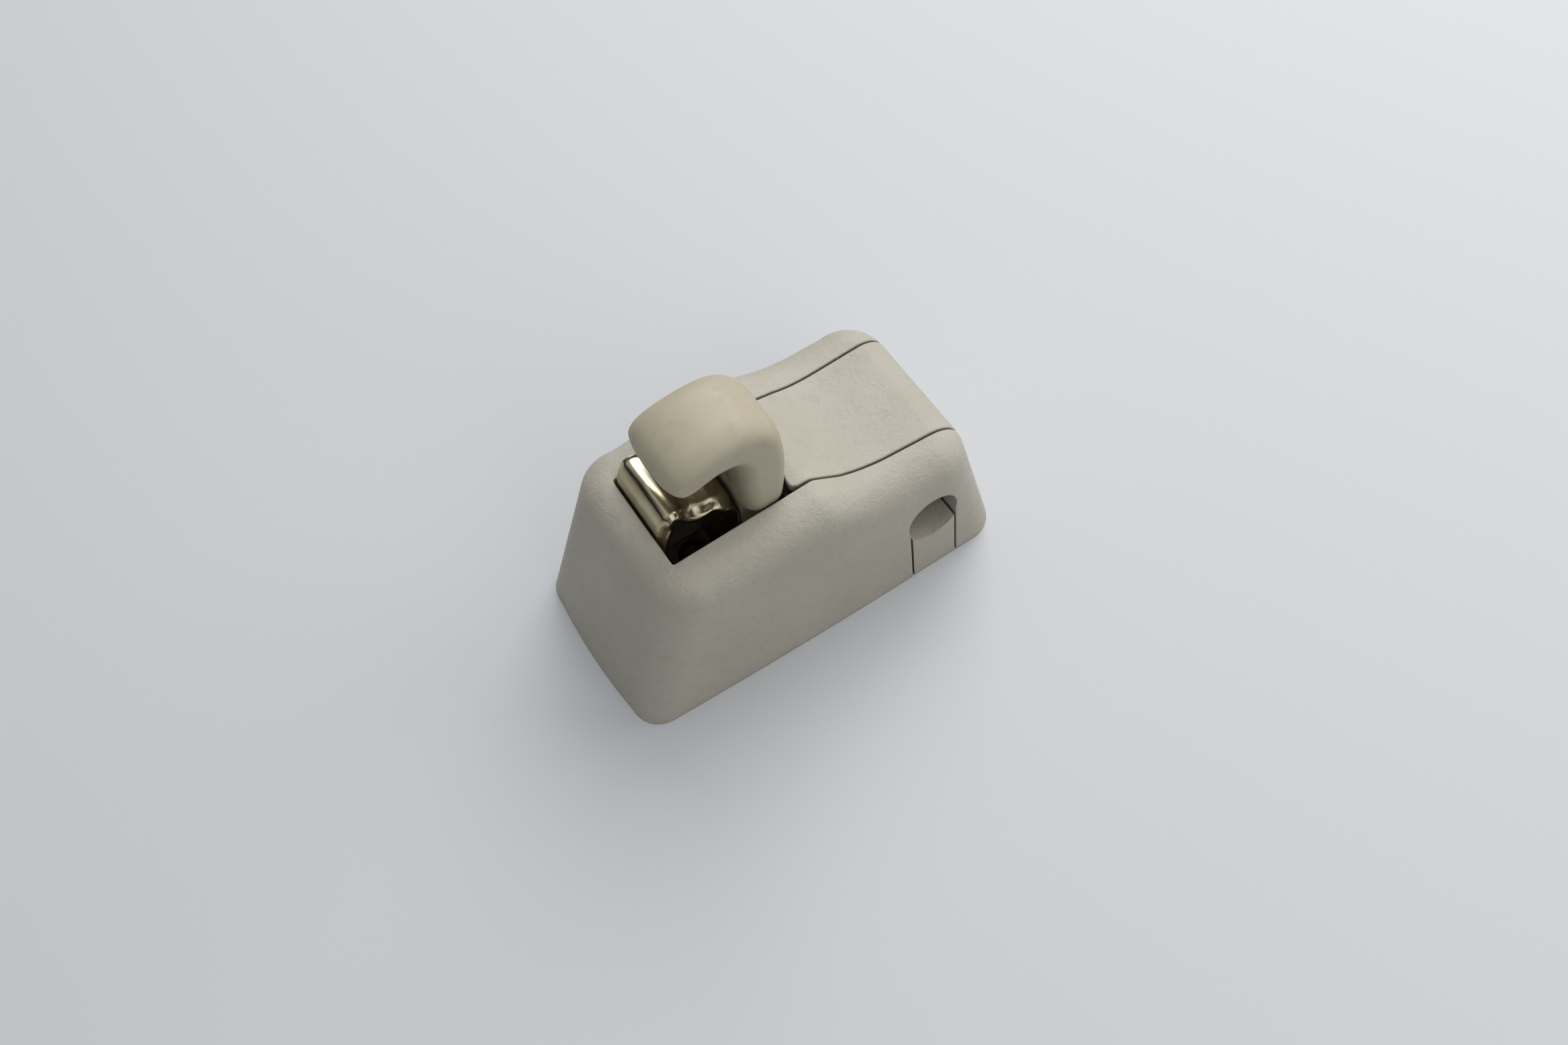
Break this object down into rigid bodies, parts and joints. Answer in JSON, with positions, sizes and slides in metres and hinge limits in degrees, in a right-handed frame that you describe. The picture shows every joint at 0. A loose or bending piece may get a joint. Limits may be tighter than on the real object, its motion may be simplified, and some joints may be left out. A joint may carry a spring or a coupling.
{
  "type": "sun visor support clip",
  "caption": "Car sun visor support clip: drafted plastic housing with a steel-cored hook and leaf spring that snap over a visor pin, a cross tunnel and a hinged screw flap.",
  "frame": {"origin": "centre of the base, on the plane that lies on the roof skin", "axes": "+X from the hook end to the flap end, +Y across, +Z away from the roof"},
  "size_m": [0.062, 0.033, 0.0443],
  "materials": {
    "housing_plastic": "fine spark-eroded grain, warm grey beige",
    "hook_plastic": "smooth soft satin, warmer beige",
    "spring_steel": "bright rolled strip with a brass tint",
    "plated_steel": "zinc plated",
    "screw_steel": "black oxide",
    "nylon": "natural nylon"
  },
  "bodies": {
    "body": {"housing": "housing_plastic", "carrier": "housing_plastic", "hook": "hook_plastic", "leaf_spring_foot": "spring_steel", "base_plate": "plated_steel", "hook_core": "plated_steel", "hook_core_pin": "plated_steel", "leaf_rivet_near": "plated_steel", "leaf_rivet_far": "plated_steel", "core_rivet_near": "plated_steel", "core_rivet_far": "plated_steel", "cover_hinge_pin": "plated_steel", "fixing_screw": "plated_steel", "screw_washer": "plated_steel", "screw_sleeve": "plated_steel", "screw_retainer": "nylon", "case_screw_front_near": "screw_steel", "case_screw_front_far": "screw_steel", "case_screw_rear_near": "screw_steel", "case_screw_rear_far": "screw_steel"},
    "flap": {"cover_flap": "housing_plastic"},
    "leaf": {"leaf_spring_arm": "spring_steel"}
  },
  "joints": [
    {"name": "flap_hinge", "type": "hinge", "parent": "body", "child": "flap", "pos_m": [0.0044, 0, 0.0257], "axis": [0, -1, 0], "range_deg": [0, 95]},
    {"name": "leaf_flex", "type": "hinge", "parent": "body", "child": "leaf", "pos_m": [-0.00625, 0.0013, 0.0274], "axis": [0, -1, 0], "range_deg": [0, 12], "stiffness_Nm_per_rad": 1}
  ]
}
